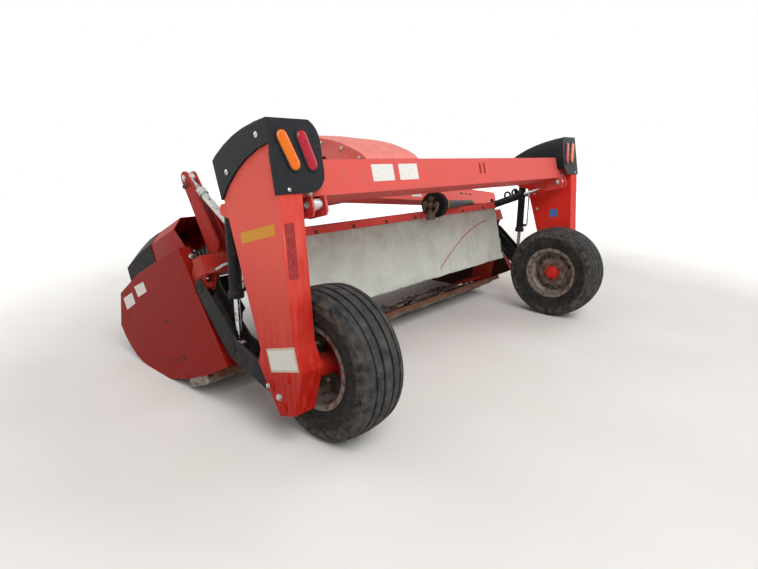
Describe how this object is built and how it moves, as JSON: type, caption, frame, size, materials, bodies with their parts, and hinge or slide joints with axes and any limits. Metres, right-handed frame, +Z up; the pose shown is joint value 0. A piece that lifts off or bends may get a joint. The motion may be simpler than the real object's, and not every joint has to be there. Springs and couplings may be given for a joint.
{
  "type": "trailed disc mower with folded drawbar",
  "caption": "Trailed disc mower: wheeled gantry carriage, tilted mowing deck with guards and curtains, rotating discs, and a drawbar folded across the deck.",
  "frame": {"origin": "on the floor under the middle of the machine's box, with the drawbar folded", "axes": "+X to the machine's right, along the cutterbar, +Y forward in the direction of mowing, +Z up"},
  "size_m": [4.6271, 2.2428, 1.5079],
  "materials": {
    "red_paint": "satin",
    "black_plastic": "satin",
    "black_paint": "satin",
    "amber_lens": "gloss",
    "red_lens": "gloss",
    "tyre_rubber": "matte",
    "worn_rim": "matte",
    "bare_steel": "satin",
    "cast_gearbox": "matte",
    "zinc_plate": "satin",
    "rusty_steel": "matte",
    "canvas": "matte",
    "curtain_rubber": "matte"
  },
  "bodies": {
    "carriage": {"gantry_beam": "red_paint", "leg_left": "red_paint", "leg_right": "red_paint", "fairings": "black_plastic", "lamps_amber": "amber_lens", "lamps_red": "red_lens", "pivot_head": "red_paint", "pivot_hood": "red_paint", "stub_axles": "bare_steel", "lift_barrels": "black_paint", "damper_brackets": "red_paint"},
    "wheel_left": {"tyre_left": "tyre_rubber", "rim_left": "worn_rim", "hub_left": "red_paint"},
    "wheel_right": {"tyre_right": "tyre_rubber", "rim_right": "worn_rim", "hub_right": "red_paint"},
    "drawbar": {"drawbar": "red_paint", "drawbar_hitch": "red_paint"},
    "lift_arms": {"lift_arms": "black_paint"},
    "lift_rods": {"lift_rods": "zinc_plate"},
    "top_link": {"top_link": "zinc_plate"},
    "deck": {"deck_frame": "red_paint", "headstock": "red_paint", "deck_gearbox": "cast_gearbox", "cutterbar": "bare_steel", "rear_bar": "rusty_steel", "guard_left": "red_paint", "guard_right": "red_paint", "top_cover": "red_paint", "gearbox_cover": "red_paint", "rear_rail": "red_paint", "rear_curtain": "canvas", "front_curtain": "curtain_rubber", "pto_shaft": "black_plastic", "pto_yoke": "rusty_steel"},
    "disc_1": {"disc_1": "bare_steel"},
    "disc_2": {"disc_2": "bare_steel"},
    "disc_3": {"disc_3": "bare_steel"},
    "disc_4": {"disc_4": "bare_steel"},
    "disc_5": {"disc_5": "bare_steel"},
    "disc_6": {"disc_6": "bare_steel"},
    "disc_7": {"disc_7": "bare_steel"},
    "damper_barrels": {"damper_barrels": "black_paint"},
    "damper_rods": {"damper_rods": "zinc_plate"}
  },
  "joints": [
    {"name": "wheel_left_spin", "type": "hinge", "parent": "carriage", "child": "wheel_left", "pos_m": [-2.03049, -0.74144, 0.38], "axis": [1, 0, 0], "continuous": true},
    {"name": "wheel_right_spin", "type": "hinge", "parent": "carriage", "child": "wheel_right", "pos_m": [0.64751, -0.74144, 0.38], "axis": [1, 0, 0], "continuous": true},
    {"name": "drawbar_swing", "type": "hinge", "parent": "carriage", "child": "drawbar", "pos_m": [-1.45849, -0.13244, 1.16911], "axis": [0, 0.2419, 0.9703], "range_deg": [0, 89]},
    {"name": "deck_lift", "type": "hinge", "parent": "carriage", "child": "lift_arms", "pos_m": [-0.69149, -0.60844, 0.304], "axis": [1, 0, 0], "range_deg": [-30, 0]},
    {"name": "deck_level", "type": "hinge", "parent": "lift_arms", "child": "deck", "pos_m": [-0.69149, 0.00272, 0.67122], "axis": [1, 0, 0], "range_deg": [0, 30]},
    {"name": "top_link_swing", "type": "hinge", "parent": "carriage", "child": "top_link", "pos_m": [-2.13649, -0.3276, 0.86078], "axis": [1, 0, 0], "range_deg": [-30, 0]},
    {"name": "lift_rod_slide", "type": "slide", "parent": "carriage", "child": "lift_rods", "axis": [0, 0, -1], "range_m": [0, 0.17637]},
    {"name": "damper_swing", "type": "hinge", "parent": "deck", "child": "damper_barrels", "pos_m": [-0.69149, 0.02556, 0.86599], "axis": [1, 0, 0], "range_deg": [-16.61, 0]},
    {"name": "damper_slide", "type": "slide", "parent": "damper_barrels", "child": "damper_rods", "axis": [0, -0.9341, 0.357], "range_m": [0, 0.26476]},
    {"name": "disc_1_spin", "type": "hinge", "parent": "deck", "child": "disc_1", "pos_m": [-1.99049, 0.15011, 0.12211], "axis": [0, 0.3827, 0.9239], "continuous": true},
    {"name": "disc_2_spin", "type": "hinge", "parent": "deck", "child": "disc_2", "pos_m": [-1.55749, 0.15011, 0.12211], "axis": [0, 0.3827, 0.9239], "continuous": true},
    {"name": "disc_3_spin", "type": "hinge", "parent": "deck", "child": "disc_3", "pos_m": [-1.12449, 0.15011, 0.12211], "axis": [0, 0.3827, 0.9239], "continuous": true},
    {"name": "disc_4_spin", "type": "hinge", "parent": "deck", "child": "disc_4", "pos_m": [-0.69149, 0.15011, 0.12211], "axis": [0, 0.3827, 0.9239], "continuous": true},
    {"name": "disc_5_spin", "type": "hinge", "parent": "deck", "child": "disc_5", "pos_m": [-0.25849, 0.15011, 0.12211], "axis": [0, 0.3827, 0.9239], "continuous": true},
    {"name": "disc_6_spin", "type": "hinge", "parent": "deck", "child": "disc_6", "pos_m": [0.17451, 0.15011, 0.12211], "axis": [0, 0.3827, 0.9239], "continuous": true},
    {"name": "disc_7_spin", "type": "hinge", "parent": "deck", "child": "disc_7", "pos_m": [0.60751, 0.15011, 0.12211], "axis": [0, 0.3827, 0.9239], "continuous": true}
  ],
  "couplings": [
    {"joint": "deck_level", "follows": "deck_lift", "ratio": -1},
    {"joint": "top_link_swing", "follows": "deck_lift", "ratio": 1},
    {"joint": "lift_rod_slide", "follows": "deck_lift", "m_per_rad": -0.33683},
    {"joint": "damper_swing", "follows": "deck_lift", "ratio": 0.55365},
    {"joint": "damper_slide", "follows": "deck_lift", "m_per_rad": -0.50564},
    {"joint": "disc_2_spin", "follows": "disc_1_spin", "ratio": -1},
    {"joint": "disc_3_spin", "follows": "disc_1_spin", "ratio": 1},
    {"joint": "disc_4_spin", "follows": "disc_1_spin", "ratio": -1},
    {"joint": "disc_5_spin", "follows": "disc_1_spin", "ratio": 1},
    {"joint": "disc_6_spin", "follows": "disc_1_spin", "ratio": -1},
    {"joint": "disc_7_spin", "follows": "disc_1_spin", "ratio": 1}
  ]
}
